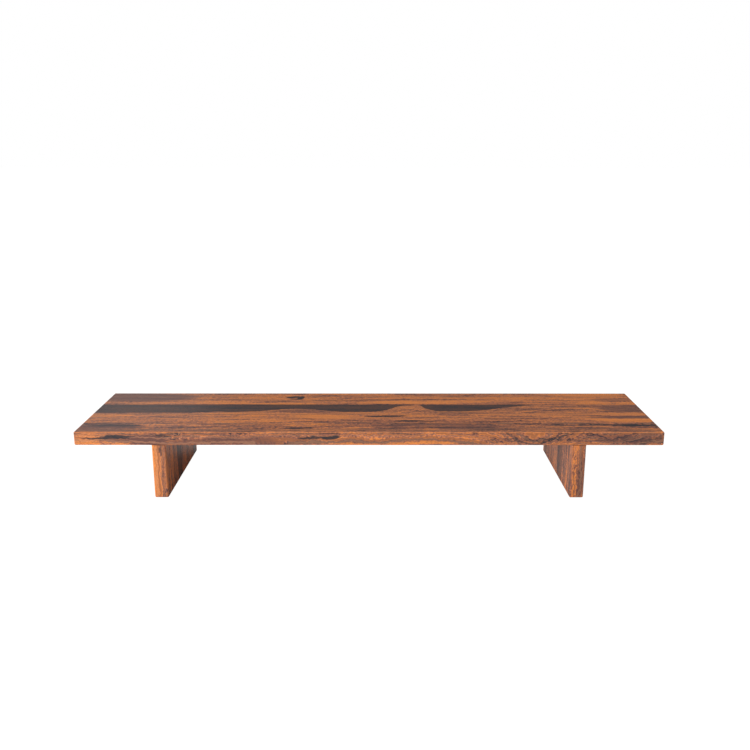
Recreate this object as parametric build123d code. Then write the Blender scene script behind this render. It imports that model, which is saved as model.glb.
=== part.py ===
from build123d import *
import os

# Monitor riser stand: a solid wood shelf on two solid wood legs, with the hidden hardware that joins them.
#
# The shelf and both legs are cut from one kind of edge-glued panel, so each is four staves side by side,
# with the glue lines of the legs in line with those of the shelf. Each leg stands against the underside of
# the shelf. Two long bolts come up through the leg from its foot into threaded inserts in the shelf, and two
# dowels between them keep the leg from turning. A round pad in the mouth of each bolt hole is the foot.
#
# Row frame: +X along the shelf, +Y from front to back, +Z up, in millimetres. The origin is on the desk,
# under the middle of the shelf.

INCH = 25.4

# Shelf and legs
shelf_length = 42 * INCH
shelf_depth = 10 * INCH
shelf_thickness = 1 * INCH
leg_height = 4 * INCH
leg_thickness = 1 * INCH
leg_inset = 5.5 * INCH  # from the end of the shelf to the outer face of the leg
edge_radius = 2.5  # rounding of every outer edge of a panel

# Staves of the edge-glued panels, from the front; the back stave takes the rest of the depth
front_stave_width = 55.0
mid_front_stave_width = 61.0
mid_back_stave_width = 56.0

# Round pads under the feet
pad_diameter = 18.0
pad_thickness = 2.5
pad_proud = 1.0  # how far a pad stands below the leg
pad_clearance = 0.2  # radial, in its recess
pad_edge_radius = 0.4

# M6 socket-head bolts with washers
bolt_diameter = 6.0
bolt_head_diameter = 10.0
bolt_head_height = 6.0
bolt_socket_width = 5.0  # across the flats of the hexagon
bolt_socket_depth = 3.0
bolt_tip_chamfer = 0.8
bolt_reach = 14.8  # how far the bolt's tip goes into the shelf
bolt_hole_clearance = 0.3  # radial, in the leg
bolt_head_recess = 18.0  # from the foot of the leg up to the washer's seat
washer_diameter = 12.0
washer_thickness = 1.6
washer_bore_clearance = 0.2  # radial, around the bolt
washer_recess_clearance = 0.3  # radial, in the leg

# Threaded inserts in the underside of the shelf
insert_diameter = 10.0
insert_length = 13.0
insert_bore_clearance = 0.05  # radial, around the bolt
insert_hole_clearance = 0.02  # radial, in the shelf
insert_chamfer = 0.7
hole_end_gap = 1.7  # free depth past the end of a bolt, an insert or a dowel

# Fluted dowels between the leg and the shelf
dowel_diameter = 8.0
dowel_reach_up = 12.0
dowel_reach_down = 18.0
dowel_clearance = 0.05  # radial, in both holes
dowel_end_chamfer = 1.0

# Places that follow from the sizes above
leg_bottom = pad_proud
shelf_underside = leg_bottom + leg_height
shelf_top = shelf_underside + shelf_thickness
front_face = -shelf_depth / 2
back_face = shelf_depth / 2
leg_centre = shelf_length / 2 - leg_inset - leg_thickness / 2
pad_recess_depth = pad_thickness - pad_proud
washer_seat = leg_bottom + bolt_head_recess
bolt_head_top = washer_seat - washer_thickness
bolt_length = shelf_underside + bolt_reach - bolt_head_top

glue_lines = [
    front_face,
    front_face + front_stave_width,
    front_face + front_stave_width + mid_front_stave_width,
    front_face + front_stave_width + mid_front_stave_width + mid_back_stave_width,
    back_face,
]
stave_names = ["front", "mid_front", "mid_back", "back"]
stave_centres = dict(zip(stave_names, [(a + b) / 2 for a, b in zip(glue_lines, glue_lines[1:])]))
bolt_staves = ["front", "back"]
dowel_staves = ["mid_front", "mid_back"]
sides = {"left": -1, "right": 1}


def upright(x, y, z_low, z_high, radius):
    """A round bar or hole on a vertical axis."""
    return Pos(x, y, (z_low + z_high) / 2) * Cylinder(radius, z_high - z_low)


def rounded_panel(x_low, x_high, z_low, z_high, sharp_top):
    """A panel of the full depth with rounded outer edges; sharp_top keeps the top square to meet the shelf."""
    size = (x_high - x_low, shelf_depth, z_high - z_low)
    panel = Pos((x_low + x_high) / 2, 0, (z_low + z_high) / 2) * Box(*size)
    edges = panel.edges()
    if sharp_top:
        edges = edges - panel.faces().sort_by(Axis.Z)[-1].edges()
    return fillet(edges, edge_radius)


def stave(panel, front, back):
    """The slice of a panel between two glue lines."""
    box = panel.bounding_box()
    width = back - front
    middle = Pos(box.center().X, (front + back) / 2, box.center().Z)
    return panel & (middle * Box(2 * box.size.X, width, 2 * box.size.Z))


def bolt_path(x, y):
    """What a bolt, its washer and its pad need cut out of a leg."""
    hole = upright(x, y, leg_bottom, shelf_underside, bolt_diameter / 2 + bolt_hole_clearance)
    head_room = upright(x, y, leg_bottom, washer_seat, washer_diameter / 2 + washer_recess_clearance)
    pad_room = upright(x, y, leg_bottom, leg_bottom + pad_recess_depth, pad_diameter / 2 + pad_clearance)
    return hole + head_room + pad_room


def insert_hole(x, y):
    """A stepped blind hole for an insert and, past it, for the tip of the bolt."""
    insert_room = upright(
        x, y, shelf_underside, shelf_underside + insert_length, insert_diameter / 2 + insert_hole_clearance
    )
    tip_room = upright(
        x, y, shelf_underside, shelf_underside + bolt_reach + hole_end_gap, bolt_diameter / 2 + bolt_hole_clearance
    )
    return insert_room + tip_room


def dowel_hole(x, y):
    """The room for a dowel, up into the shelf and down into the leg."""
    low = shelf_underside - dowel_reach_down - hole_end_gap
    high = shelf_underside + dowel_reach_up + hole_end_gap
    return upright(x, y, low, high, dowel_diameter / 2 + dowel_clearance)


def make_shelf_staves():
    """Four staves, with blind holes in their undersides over both legs."""
    panel = rounded_panel(-shelf_length / 2, shelf_length / 2, shelf_underside, shelf_top, sharp_top=False)
    staves = {}
    for name, front, back in zip(stave_names, glue_lines, glue_lines[1:]):
        piece = stave(panel, front, back)
        for side in sides.values():
            x = side * leg_centre
            y = stave_centres[name]
            piece -= insert_hole(x, y) if name in bolt_staves else dowel_hole(x, y)
        staves[f"shelf_stave_{name}"] = piece
    return staves


def make_leg_staves(side_name):
    """Four upright staves of one leg, drilled from the foot for the bolts and from the top for the dowels."""
    x = sides[side_name] * leg_centre
    low, high = x - leg_thickness / 2, x + leg_thickness / 2
    panel = rounded_panel(low, high, leg_bottom, shelf_underside, sharp_top=True)
    staves = {}
    for name, front, back in zip(stave_names, glue_lines, glue_lines[1:]):
        piece = stave(panel, front, back)
        y = stave_centres[name]
        piece -= bolt_path(x, y) if name in bolt_staves else dowel_hole(x, y)
        staves[f"{side_name}_leg_stave_{name}"] = piece
    return staves


def make_bolt(x, y):
    """A socket-head bolt, head down, with its hexagon open to the foot."""
    head = upright(x, y, bolt_head_top - bolt_head_height, bolt_head_top, bolt_head_diameter / 2)
    shank = upright(x, y, bolt_head_top, bolt_head_top + bolt_length, bolt_diameter / 2)
    shank = chamfer(shank.edges().sort_by(Axis.Z)[-1], bolt_tip_chamfer)
    hexagon = RegularPolygon(bolt_socket_width / 2, 6, major_radius=False)
    socket = Pos(x, y, bolt_head_top - bolt_head_height) * extrude(hexagon, bolt_socket_depth)
    return head + shank - socket


def make_washer(x, y):
    ring = upright(x, y, bolt_head_top, washer_seat, washer_diameter / 2)
    return ring - upright(x, y, bolt_head_top, washer_seat, bolt_diameter / 2 + washer_bore_clearance)


def make_insert(x, y):
    """A threaded sleeve, flush with the underside of the shelf."""
    body = upright(x, y, shelf_underside, shelf_underside + insert_length, insert_diameter / 2)
    body = chamfer(body.edges().sort_by(Axis.Z)[-1], insert_chamfer)
    bore = upright(
        x, y, shelf_underside, shelf_underside + insert_length, bolt_diameter / 2 + insert_bore_clearance
    )
    return body - bore


def make_dowel(x, y):
    pin = upright(x, y, shelf_underside - dowel_reach_down, shelf_underside + dowel_reach_up, dowel_diameter / 2)
    rims = pin.edges().filter_by(GeomType.CIRCLE)
    return chamfer(rims, dowel_end_chamfer)


def make_pad(x, y):
    pad = upright(x, y, 0, pad_thickness, pad_diameter / 2)
    return fillet(pad.edges().sort_by(Axis.Z)[0], pad_edge_radius)


def make_leg_hardware(side_name):
    """The bolts, washers, inserts, pads and dowels of one leg."""
    x = sides[side_name] * leg_centre
    pieces = {}
    for name in bolt_staves:
        y = stave_centres[name]
        pieces[f"{side_name}_{name}_bolt"] = make_bolt(x, y)
        pieces[f"{side_name}_{name}_washer"] = make_washer(x, y)
        pieces[f"{side_name}_{name}_threaded_insert"] = make_insert(x, y)
        pieces[f"{side_name}_{name}_foot_pad"] = make_pad(x, y)
    for name in dowel_staves:
        pieces[f"{side_name}_{name}_dowel"] = make_dowel(x, stave_centres[name])
    return pieces


def main():
    os.makedirs("parts", exist_ok=True)
    pieces = make_shelf_staves()
    for side_name in sides:
        pieces |= make_leg_staves(side_name)
        pieces |= make_leg_hardware(side_name)
    for name, piece in pieces.items():
        export_step(piece, f"parts/{name}.step")
    print(f"{len(pieces)} pieces, bolt length {bolt_length:.1f} mm, height {shelf_top:.1f} mm")


main()
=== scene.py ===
import math
from functools import partial

import bmesh
import bpy
from bpy.props import FloatProperty, FloatVectorProperty, IntProperty, PointerProperty
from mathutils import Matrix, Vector


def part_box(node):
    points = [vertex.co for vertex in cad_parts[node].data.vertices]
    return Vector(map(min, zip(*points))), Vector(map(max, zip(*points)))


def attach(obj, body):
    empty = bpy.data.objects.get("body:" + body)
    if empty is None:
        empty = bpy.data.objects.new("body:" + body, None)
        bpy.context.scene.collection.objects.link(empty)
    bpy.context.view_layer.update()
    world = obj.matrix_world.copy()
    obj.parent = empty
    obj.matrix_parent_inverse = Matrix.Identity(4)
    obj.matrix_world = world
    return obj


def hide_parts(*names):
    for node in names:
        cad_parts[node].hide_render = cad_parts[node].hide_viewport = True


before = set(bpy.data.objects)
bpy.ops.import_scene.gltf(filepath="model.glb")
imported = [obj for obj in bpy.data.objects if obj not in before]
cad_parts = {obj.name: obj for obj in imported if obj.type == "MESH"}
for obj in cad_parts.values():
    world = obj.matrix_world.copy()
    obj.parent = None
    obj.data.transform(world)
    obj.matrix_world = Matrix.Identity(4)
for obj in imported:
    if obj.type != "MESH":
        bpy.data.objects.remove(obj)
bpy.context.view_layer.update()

bl_info = {
    "name": "Monitor Riser Stand",
    "version": (1, 0, 0),
    "blender": (4, 5, 0),
    "location": "3D View > Sidebar > Riser",
    "description": "Builds a rosewood monitor riser around its packed model",
    "category": "Add Mesh",
}

MM = 0.001
BODY = "root"
STAVES = ("front", "mid_front", "mid_back", "back")
BOLTED = ("front", "back")
DOWELLED = ("mid_front", "mid_back")
SIDES = ("left", "right")


def linear(code):
    """An sRGB hex colour as linear red, green and blue."""
    parts = [int(code[i:i + 2], 16) / 255 for i in (0, 2, 4)]
    return tuple(c / 12.92 if c <= 0.04045 else ((c + 0.055) / 1.055) ** 2.4 for c in parts)


def node_axis(node):
    """Where the upright axis of a CAD node stands."""
    low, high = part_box(node)
    middle = (low + high) / 2
    return middle.x, middle.y


def joint_middle(nodes):
    """The middle of the box round several CAD nodes together."""
    corners = [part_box(node) for node in nodes]
    low = Vector(min(c[0][i] for c in corners) for i in range(3))
    high = Vector(max(c[1][i] for c in corners) for i in range(3))
    return (low + high) / 2


# Sizes and colours

class BoardSettings(bpy.types.PropertyGroup):
    edge_radius: FloatProperty(
        name="Edge radius", description="Rounding of the outer edges", default=2.5 * MM, unit="LENGTH")
    edge_segments: IntProperty(
        name="Edge segments", description="Facets across the rounding", default=8)
    bore_segments: IntProperty(
        name="Bore segments", description="Facets around a drilled hole", default=48)
    bolt_bore: FloatProperty(
        name="Bolt bore", description="Radius of the bolt's hole", default=3.3 * MM, unit="LENGTH")
    head_bore: FloatProperty(
        name="Head bore", description="Radius of the hole for head and washer", default=6.3 * MM,
        unit="LENGTH")
    pad_bore: FloatProperty(
        name="Pad bore", description="Radius of the recess for the foot", default=9.2 * MM, unit="LENGTH")
    dowel_bore: FloatProperty(
        name="Dowel bore", description="Radius of a dowel's hole", default=4.05 * MM, unit="LENGTH")
    insert_bore: FloatProperty(
        name="Insert bore", description="Radius of an insert's hole", default=5.02 * MM, unit="LENGTH")
    end_gap: FloatProperty(
        name="End gap", description="Free depth past the end of a bolt or dowel", default=1.7 * MM,
        unit="LENGTH")


class HardwareSettings(bpy.types.PropertyGroup):
    segments: IntProperty(
        name="Segments", description="Facets around a turned part, a multiple of six", default=120)
    bolt_pitch: FloatProperty(
        name="Bolt pitch", description="Rise of the bolt's thread in one turn", default=1.0 * MM,
        unit="LENGTH")
    bolt_thread_depth: FloatProperty(
        name="Bolt thread depth", description="Depth of the bolt's thread", default=0.61 * MM, unit="LENGTH")
    bolt_thread_length: FloatProperty(
        name="Threaded length", description="Length of thread at the end of a bolt", default=24 * MM,
        unit="LENGTH")
    tip_chamfer: FloatProperty(
        name="Tip chamfer", description="Chamfer at the end of a bolt", default=0.8 * MM, unit="LENGTH")
    socket_width: FloatProperty(
        name="Socket width", description="Hexagon socket across its flats", default=5 * MM, unit="LENGTH")
    socket_depth: FloatProperty(
        name="Socket depth", description="Depth of the hexagon socket", default=3 * MM, unit="LENGTH")
    knurl_count: IntProperty(name="Knurl", description="Grooves round the head of a bolt", default=30)
    knurl_depth: FloatProperty(
        name="Knurl depth", description="Depth of the grooves round the head", default=0.28 * MM,
        unit="LENGTH")
    washer_bore: FloatProperty(
        name="Washer bore", description="Radius of the hole in a washer", default=3.2 * MM, unit="LENGTH")
    insert_bore: FloatProperty(
        name="Insert bore", description="Root radius of the insert's inner thread", default=3.05 * MM,
        unit="LENGTH")
    inner_thread_depth: FloatProperty(
        name="Inner thread depth", description="Depth of the insert's inner thread", default=0.55 * MM,
        unit="LENGTH")
    insert_pitch: FloatProperty(
        name="Insert pitch", description="Rise of the coarse thread that bites the wood", default=2.5 * MM,
        unit="LENGTH")
    insert_thread_depth: FloatProperty(
        name="Insert thread depth", description="Depth of the coarse thread", default=0.85 * MM,
        unit="LENGTH")
    insert_chamfer: FloatProperty(
        name="Insert chamfer", description="Lead-in at the top of an insert", default=0.7 * MM, unit="LENGTH")
    flute_count: IntProperty(name="Flutes", description="Glue grooves round a dowel", default=20)
    flute_depth: FloatProperty(
        name="Flute depth", description="Depth of a dowel's glue grooves", default=0.35 * MM, unit="LENGTH")
    dowel_chamfer: FloatProperty(
        name="Dowel chamfer", description="Chamfer at a dowel's ends", default=1 * MM, unit="LENGTH")
    rib_pitch: FloatProperty(
        name="Rib pitch", description="Spacing of the ring ribs under a foot", default=2 * MM, unit="LENGTH")
    rib_depth: FloatProperty(
        name="Rib depth", description="Depth of the grooves between the ribs", default=0.4 * MM,
        unit="LENGTH")


class WoodSettings(bpy.types.PropertyGroup):
    glow: FloatVectorProperty(
        name="Glow", description="The brightest orange figure", subtype="COLOR", default=linear("EC8E47"))
    light: FloatVectorProperty(
        name="Light", description="Orange-brown ground", subtype="COLOR", default=linear("C37A57"))
    middle: FloatVectorProperty(
        name="Middle", description="Red-brown ground", subtype="COLOR", default=linear("A0644E"))
    sheen: FloatVectorProperty(
        name="Sheen", description="Pinkish light lines of the rings", subtype="COLOR",
        default=linear("D3916A"))
    plum: FloatVectorProperty(
        name="Plum", description="Purple-brown bands", subtype="COLOR", default=linear("6E4A42"))
    ink: FloatVectorProperty(
        name="Ink", description="Blue-black heartwood streaks", subtype="COLOR", default=linear("2B2E34"))


class StageSettings(bpy.types.PropertyGroup):
    camera_place: FloatVectorProperty(
        name="Camera place", description="Where the camera stands", subtype="TRANSLATION",
        default=(0.0129, -1.5746, 0.6174))
    camera_dip: FloatProperty(
        name="Camera dip", description="How far the camera looks down", subtype="ANGLE",
        default=math.radians(14.818))
    camera_turn: FloatProperty(
        name="Camera turn", description="How far the camera is turned to the left", subtype="ANGLE",
        default=math.radians(0.074))
    lens: FloatProperty(name="Lens", description="Focal length in millimetres", default=40.62)
    key: FloatProperty(
        name="Key light", description="Power of the soft light in front, on the left", default=22.0,
        unit="POWER")
    side: FloatProperty(
        name="Side light", description="Power of the low soft light far left", default=86.0, unit="POWER")
    fill: FloatProperty(
        name="Fill light", description="Power of the weak light on the right", default=14.0, unit="POWER")
    back: FloatProperty(
        name="Back light", description="Power of the soft light behind, on the left", default=3.0,
        unit="POWER")
    top: FloatProperty(
        name="Top light", description="Power of the soft light above", default=34.0, unit="POWER")
    sky: FloatProperty(name="Surround", description="Light that comes from all round", default=0.14)
    floor_tone: FloatProperty(name="Floor tone", description="How pale the floor's paint is", default=0.9)
    floor_glow: FloatProperty(
        name="Floor glow", description="Brightness that the floor is lifted to", default=1.15)
    high_key: FloatProperty(
        name="High key", description="How far the floor is lifted as it is seen", default=0.88,
        subtype="FACTOR")
    card: FloatProperty(
        name="Card", description="Brightness of the card on the floor that the right leg reflects",
        default=0.35)


# Small helpers

def set_inputs(tree, node, inputs):
    """Fills a node's inputs, each with a plain value, a socket, or a node's first output."""
    for key, value in inputs.items():
        if isinstance(value, bpy.types.Node):
            value = next(s for s in value.outputs if s.enabled)
        if isinstance(value, bpy.types.NodeSocket):
            tree.links.new(value, node.inputs[key])
        else:
            node.inputs[key].default_value = value


def add_node(tree, kind, inputs=None, **settings):
    """Adds a node with its settings, then its values and links."""
    node = tree.nodes.new(kind)
    for name, value in settings.items():
        setattr(node, name, value)
    set_inputs(tree, node, inputs or {})
    return node


def new_tree(name, kind, inputs, outputs):
    """A node group with named sockets; gives the tree and its input and output nodes."""
    tree = bpy.data.node_groups.new(name, kind)
    for way, sockets in (("INPUT", inputs), ("OUTPUT", outputs)):
        for socket, socket_type in sockets:
            tree.interface.new_socket(socket, in_out=way, socket_type=socket_type)
    return tree, tree.nodes.new("NodeGroupInput"), tree.nodes.new("NodeGroupOutput")


def typed(socket_type, *names):
    """Sockets of one type for new_tree."""
    return [(name, f"NodeSocket{socket_type}") for name in names]


def new_material(name):
    """A material with nodes; gives it, its tree and its Principled shader."""
    material = bpy.data.materials.new(name)
    material.use_nodes = True
    return material, material.node_tree, material.node_tree.nodes["Principled BSDF"]


def scene_object(name, data):
    """An object of the scene that holds a mesh, a light or a camera."""
    holder = bpy.data.objects.new(name, data)
    bpy.context.scene.collection.objects.link(holder)
    return holder


def shape_object(name, shape):
    """Turns a bmesh into an object of the scene."""
    mesh = bpy.data.meshes.new(name)
    shape.to_mesh(mesh)
    shape.free()
    return scene_object(name, mesh)


def shared_tree(name, make):
    """A node group that several pieces use, made once."""
    return bpy.data.node_groups.get(name) or make()


def modify(piece, tree, values):
    """Puts a Geometry Nodes tree on a piece, with each input set by its socket's identifier."""
    modifier = piece.modifiers.new(tree.name, "NODES")
    modifier.node_group = tree
    for socket in tree.interface.items_tree:
        if socket.item_type == "SOCKET" and socket.in_out == "INPUT" and socket.name in values:
            modifier[socket.identifier] = values[socket.name]


def bake_modifiers(piece):
    """Turns what the modifiers make into the piece's own plain mesh, with its one material."""
    evaluated = piece.evaluated_get(bpy.context.evaluated_depsgraph_get())
    old, name = piece.data, piece.data.name
    piece.data = bpy.data.meshes.new_from_object(evaluated)
    piece.modifiers.clear()
    bpy.data.meshes.remove(old)
    piece.data.name = name
    used = next(m for m in piece.data.materials if m)
    piece.data.materials.clear()
    piece.data.materials.append(used)
    piece.data.polygons.foreach_set("material_index", [0] * len(piece.data.polygons))


def finish_piece(piece, slot, *nodes):
    """Hands a finished piece over to the frame, in place of the CAD nodes that it stands for."""
    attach(piece, BODY)
    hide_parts(*nodes)


# Rosewood

class Mark:
    """One listed figure in the wood: an ellipsoid in the shared frame, in millimetres.

    kind is ink, plum or glow, which colour it, knot, which is ink with a clean outline, or swell, which bends
    the growth rings by strength millimetres.
    turn is its tilt about the panel's Y axis and its turn about Z, in degrees.
    """

    def __init__(self, kind, centre, half, strength=1.0, turn=(0.0, 0.0)):
        self.kind, self.centre, self.half, self.strength, self.turn = kind, centre, half, strength, turn


SHELF_MARKS = {
    "back": [
        Mark("plum", (-470, 96, 128), (130, 34, 16), 2.1),
        Mark("glow", (-455, 56, 128), (95, 4, 8), 0.8),
        Mark("glow", (-470, 123, 128), (60, 3, 8), 0.6),
        Mark("knot", (-157, 99, 128), (16, 6, 8), 1.0, (0, 8)),
        Mark("knot", (-141, 95, 128), (7, 12, 8), 1.0, (0, -20)),
        Mark("knot", (-150, 86, 128), (15, 4, 8), 0.8, (0, -6)),
        Mark("swell", (-150, 95, 128), (44, 34, 20), 16),
        Mark("ink", (30, 77, 128), (150, 2.2, 6), 0.8),
        Mark("glow", (460, 112, 128), (90, 12, 8), 1.3),
        Mark("plum", (500, 78, 128), (60, 14, 8), 0.8),
        Mark("glow", (40, 60, 128), (130, 9, 8), 0.8),
    ],
    "mid_back": [
        Mark("swell", (-500, 17, 128), (210, 400, 60), -22),
        Mark("swell", (-143, 17, 128), (92, 300, 60), 20),
        Mark("swell", (76, 17, 128), (57, 300, 60), 41),
        Mark("swell", (96, 17, 128), (15, 300, 60), 18),
        Mark("swell", (400, 17, 128), (215, 300, 60), 60),
        Mark("plum", (-120, 0, 128), (75, 11, 8), 0.6),
        Mark("swell", (434, 12, 128), (20, 9, 16), 7),
        Mark("plum", (510, 20, 128), (66, 26, 16), 1.4),
    ],
    "mid_front": [
        Mark("swell", (-440, -45, 128), (80, 24, 30), 15),
        Mark("glow", (-500, -30, 128), (60, 14, 10), 0.5),
        Mark("glow", (-88, -38, 128), (66, 14, 10), 2.0),
        Mark("ink", (32, -31, 128), (42, 4.4, 6), 1.0),
        Mark("knot", (74, -60, 128), (30, 5.4, 6), 1.0),
        Mark("ink", (90, -61, 128), (36, 3.6, 6), 1.0),
        Mark("glow", (480, -18, 128), (90, 8, 8), 2.0),
        Mark("plum", (490, -37, 128), (80, 9, 8), 1.8),
        Mark("glow", (495, -57, 128), (75, 11, 10), 1.9),
    ],
    "front": [
        Mark("plum", (-485, -98, 128), (75, 34, 7), 1.4),
        Mark("ink", (-470, -90, 128), (55, 6, 5), 0.7),
        Mark("ink", (-130, -102, 128), (26, 3.6, 4), 1.0),
        Mark("ink", (495, -86, 128), (66, 7, 5), 1.0),
        Mark("plum", (130, -92, 128), (130, 22, 5), 0.9),
        Mark("glow", (-512, -127, 114), (34, 8, 16), 1.3),
        Mark("ink", (-460, -127, 117), (34, 8, 3.4), 0.9, (-4, 0)),
        Mark("ink", (-490, -127, 113.5), (30, 8, 1.8), 0.9),
        Mark("plum", (-446, -127, 115), (46, 8, 8), 0.9),
        Mark("plum", (-398, -127, 113), (40, 10, 13), 1.9),
        Mark("plum", (-262, -127, 109), (120, 14, 10), 1.2),
        Mark("ink", (-371, -127, 122.4), (9, 6, 2.6), 0.8),
        Mark("swell", (-180, -127, 98), (75, 24, 14), 7),
        Mark("knot", (-70, -127, 118.6), (19, 8, 3.9), 1.0, (-5, 0)),
        Mark("ink", (-98, -127, 116.6), (27, 8, 2.4), 0.9, (-5, 0)),
        Mark("plum", (-150, -127, 113), (60, 8, 7), 0.6),
        Mark("swell", (300, -127, 112), (100, 40, 40), 26),
        Mark("swell", (440, -127, 115), (60, 40, 40), 9),
        Mark("ink", (340, -127, 116), (50, 14, 2.2), 0.75, (-18, 0)),
        Mark("ink", (505, -127, 112), (36, 14, 2.2), 0.6, (-20, 0)),
        Mark("plum", (475, -127, 115), (75, 16, 18), 0.6),
    ],
}

LEG_MARKS = {
    "front": [Mark("ink", (0, -74, 52), (40, 2.0, 90), 0.5)],
    "mid_front": [Mark("ink", (0, -30, 52), (40, 19, 120), 0.8), Mark("ink", (0, -68, 52), (40, 3, 90), 0.5)],
    "mid_back": [Mark("glow", (0, 5, 52), (40, 7, 90), 0.5), Mark("plum", (0, 36, 52), (40, 12, 90), 0.3)],
    "back": [Mark("ink", (0, 104, 52), (40, 12, 140), 0.9), Mark("plum", (0, 78, 52), (40, 16, 90), 0.4),
             # painted highlight: the bright band along the back edge of each leg stands in for that rounded
             # edge lit from the left
             Mark("glow", (0, 127, 52), (40, 7, 140), 2.6)],
}

# painted haze: the right leg's marks are painted fainter, standing in for the pale veil of reflected light
# over that leg
LEG_CONTRAST = {"left": 1.0, "right": 0.8}

LEG_FRONT_MARKS = {
    "left": [
        Mark("glow", (-388, -127, 62), (10, 12, 90), 1.8),
        Mark("plum", (-372, -127, 60), (5, 10, 70), 0.5),
        Mark("ink", (-379, -127, 95), (3, 6, 7), 0.6),
    ],
    "right": [
        Mark("glow", (377, -127, 72), (8, 10, 60), 0.35),
        Mark("plum", (391, -127, 30), (5, 10, 70), 0.45),
        Mark("plum", (381, -127, 10), (3, 10, 50), 0.8),
        Mark("plum", (370, -127, 66), (2.5, 10, 60), 0.7),
        Mark("plum", (375, -127, 24), (1.3, 10, 44), 1.0),
        Mark("plum", (379, -127, 44), (1.2, 10, 52), 1.0),
        Mark("plum", (387, -127, 50), (1.2, 10, 60), 0.9),
    ],
}


# how far into a mark its edge reaches, as a share of its half size: 1 is a hard outline
MARK_EDGE = {"ink": 0.95, "knot": 0.8, "plum": 0.6, "glow": 0.5, "swell": 0.0}
# where a mark fades out altogether, as a share of its half size
MARK_REACH = 1.12

# where the heart of its tree lies from the middle of a stave, across and through it, in millimetres
PITH = {"front": (46, -58), "mid_front": (-64, 44), "mid_back": (62, 34), "back": (-68, -30)}
# how much further through the leg it lies in each leg, so that the two legs differ
LEG_PITH_SHIFT = {"left": 0, "right": 6}

# the tone of each stave, from 0 for dark to 1 for bright
SHELF_TONE = {"front": 0.485, "mid_front": 0.65, "mid_back": 0.58, "back": 0.7}
LEG_TONE = 0.57

# the dark heartwood zone of one stave: where it starts across the shelf, where it ends along it, its strength,
# then half the width of its edge and the length of its end, all in millimetres
DARK_ZONE = {"mid_back": (-4, 400, 0.9)}
ZONE_EDGE = 1.2
ZONE_FADE = 90


def grain_noise(tree, place, along, across, detail, roughness=0.5):
    """A noise in the wood whose waves are so many millimetres long along the grain and wide across it."""
    scaled = add_node(
        tree, "ShaderNodeVectorMath", {0: place, 1: (1 / along, 1 / across, 1 / across)},
        operation="MULTIPLY")
    return add_node(
        tree, "ShaderNodeTexNoise",
        {"Vector": scaled, "Scale": 1.0, "Detail": detail, "Roughness": roughness})


def make_grain_warp():
    """How the fibres of a stave wander. Positions are in millimetres: along, across and through the stave."""
    tree, given, result = new_tree(
        "Grain Warp", "ShaderNodeTree", typed("Vector", "Position"), typed("Vector", "Wavy", "Frayed"))
    add = partial(add_node, tree)
    place = moved = given.outputs["Position"]
    # slow wander of the whole figure, a shorter sway, then the ripple of the fibres
    for along, across, reach, detail in ((170, 60, 16, 2.0), (48, 20, 6, 1.0), (9, 12, 4.2, 1.0)):
        noise = grain_noise(tree, place, along, across, detail)
        centred = add(
            "ShaderNodeVectorMath", {0: noise.outputs["Color"], 1: (0.5, 0.5, 0.5)}, operation="SUBTRACT")
        moved = add(
            "ShaderNodeVectorMath", {0: centred, 1: (0, reach, reach), 2: moved}, operation="MULTIPLY_ADD")
    # the ends of a dark streak run out in separate fibres, up to 30 mm to each side
    noise = grain_noise(tree, moved, 60, 1.8, 2.0)
    fray = add("ShaderNodeMath", {0: noise, 1: 0.5}, operation="SUBTRACT")
    along = add("ShaderNodeMath", {0: fray, 1: 60.0}, operation="MULTIPLY")
    shift = add("ShaderNodeCombineXYZ", {"X": along})
    frayed = add("ShaderNodeVectorMath", {0: moved, 1: shift}, operation="ADD")
    set_inputs(tree, result, {"Wavy": moved, "Frayed": frayed})
    return tree


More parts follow.
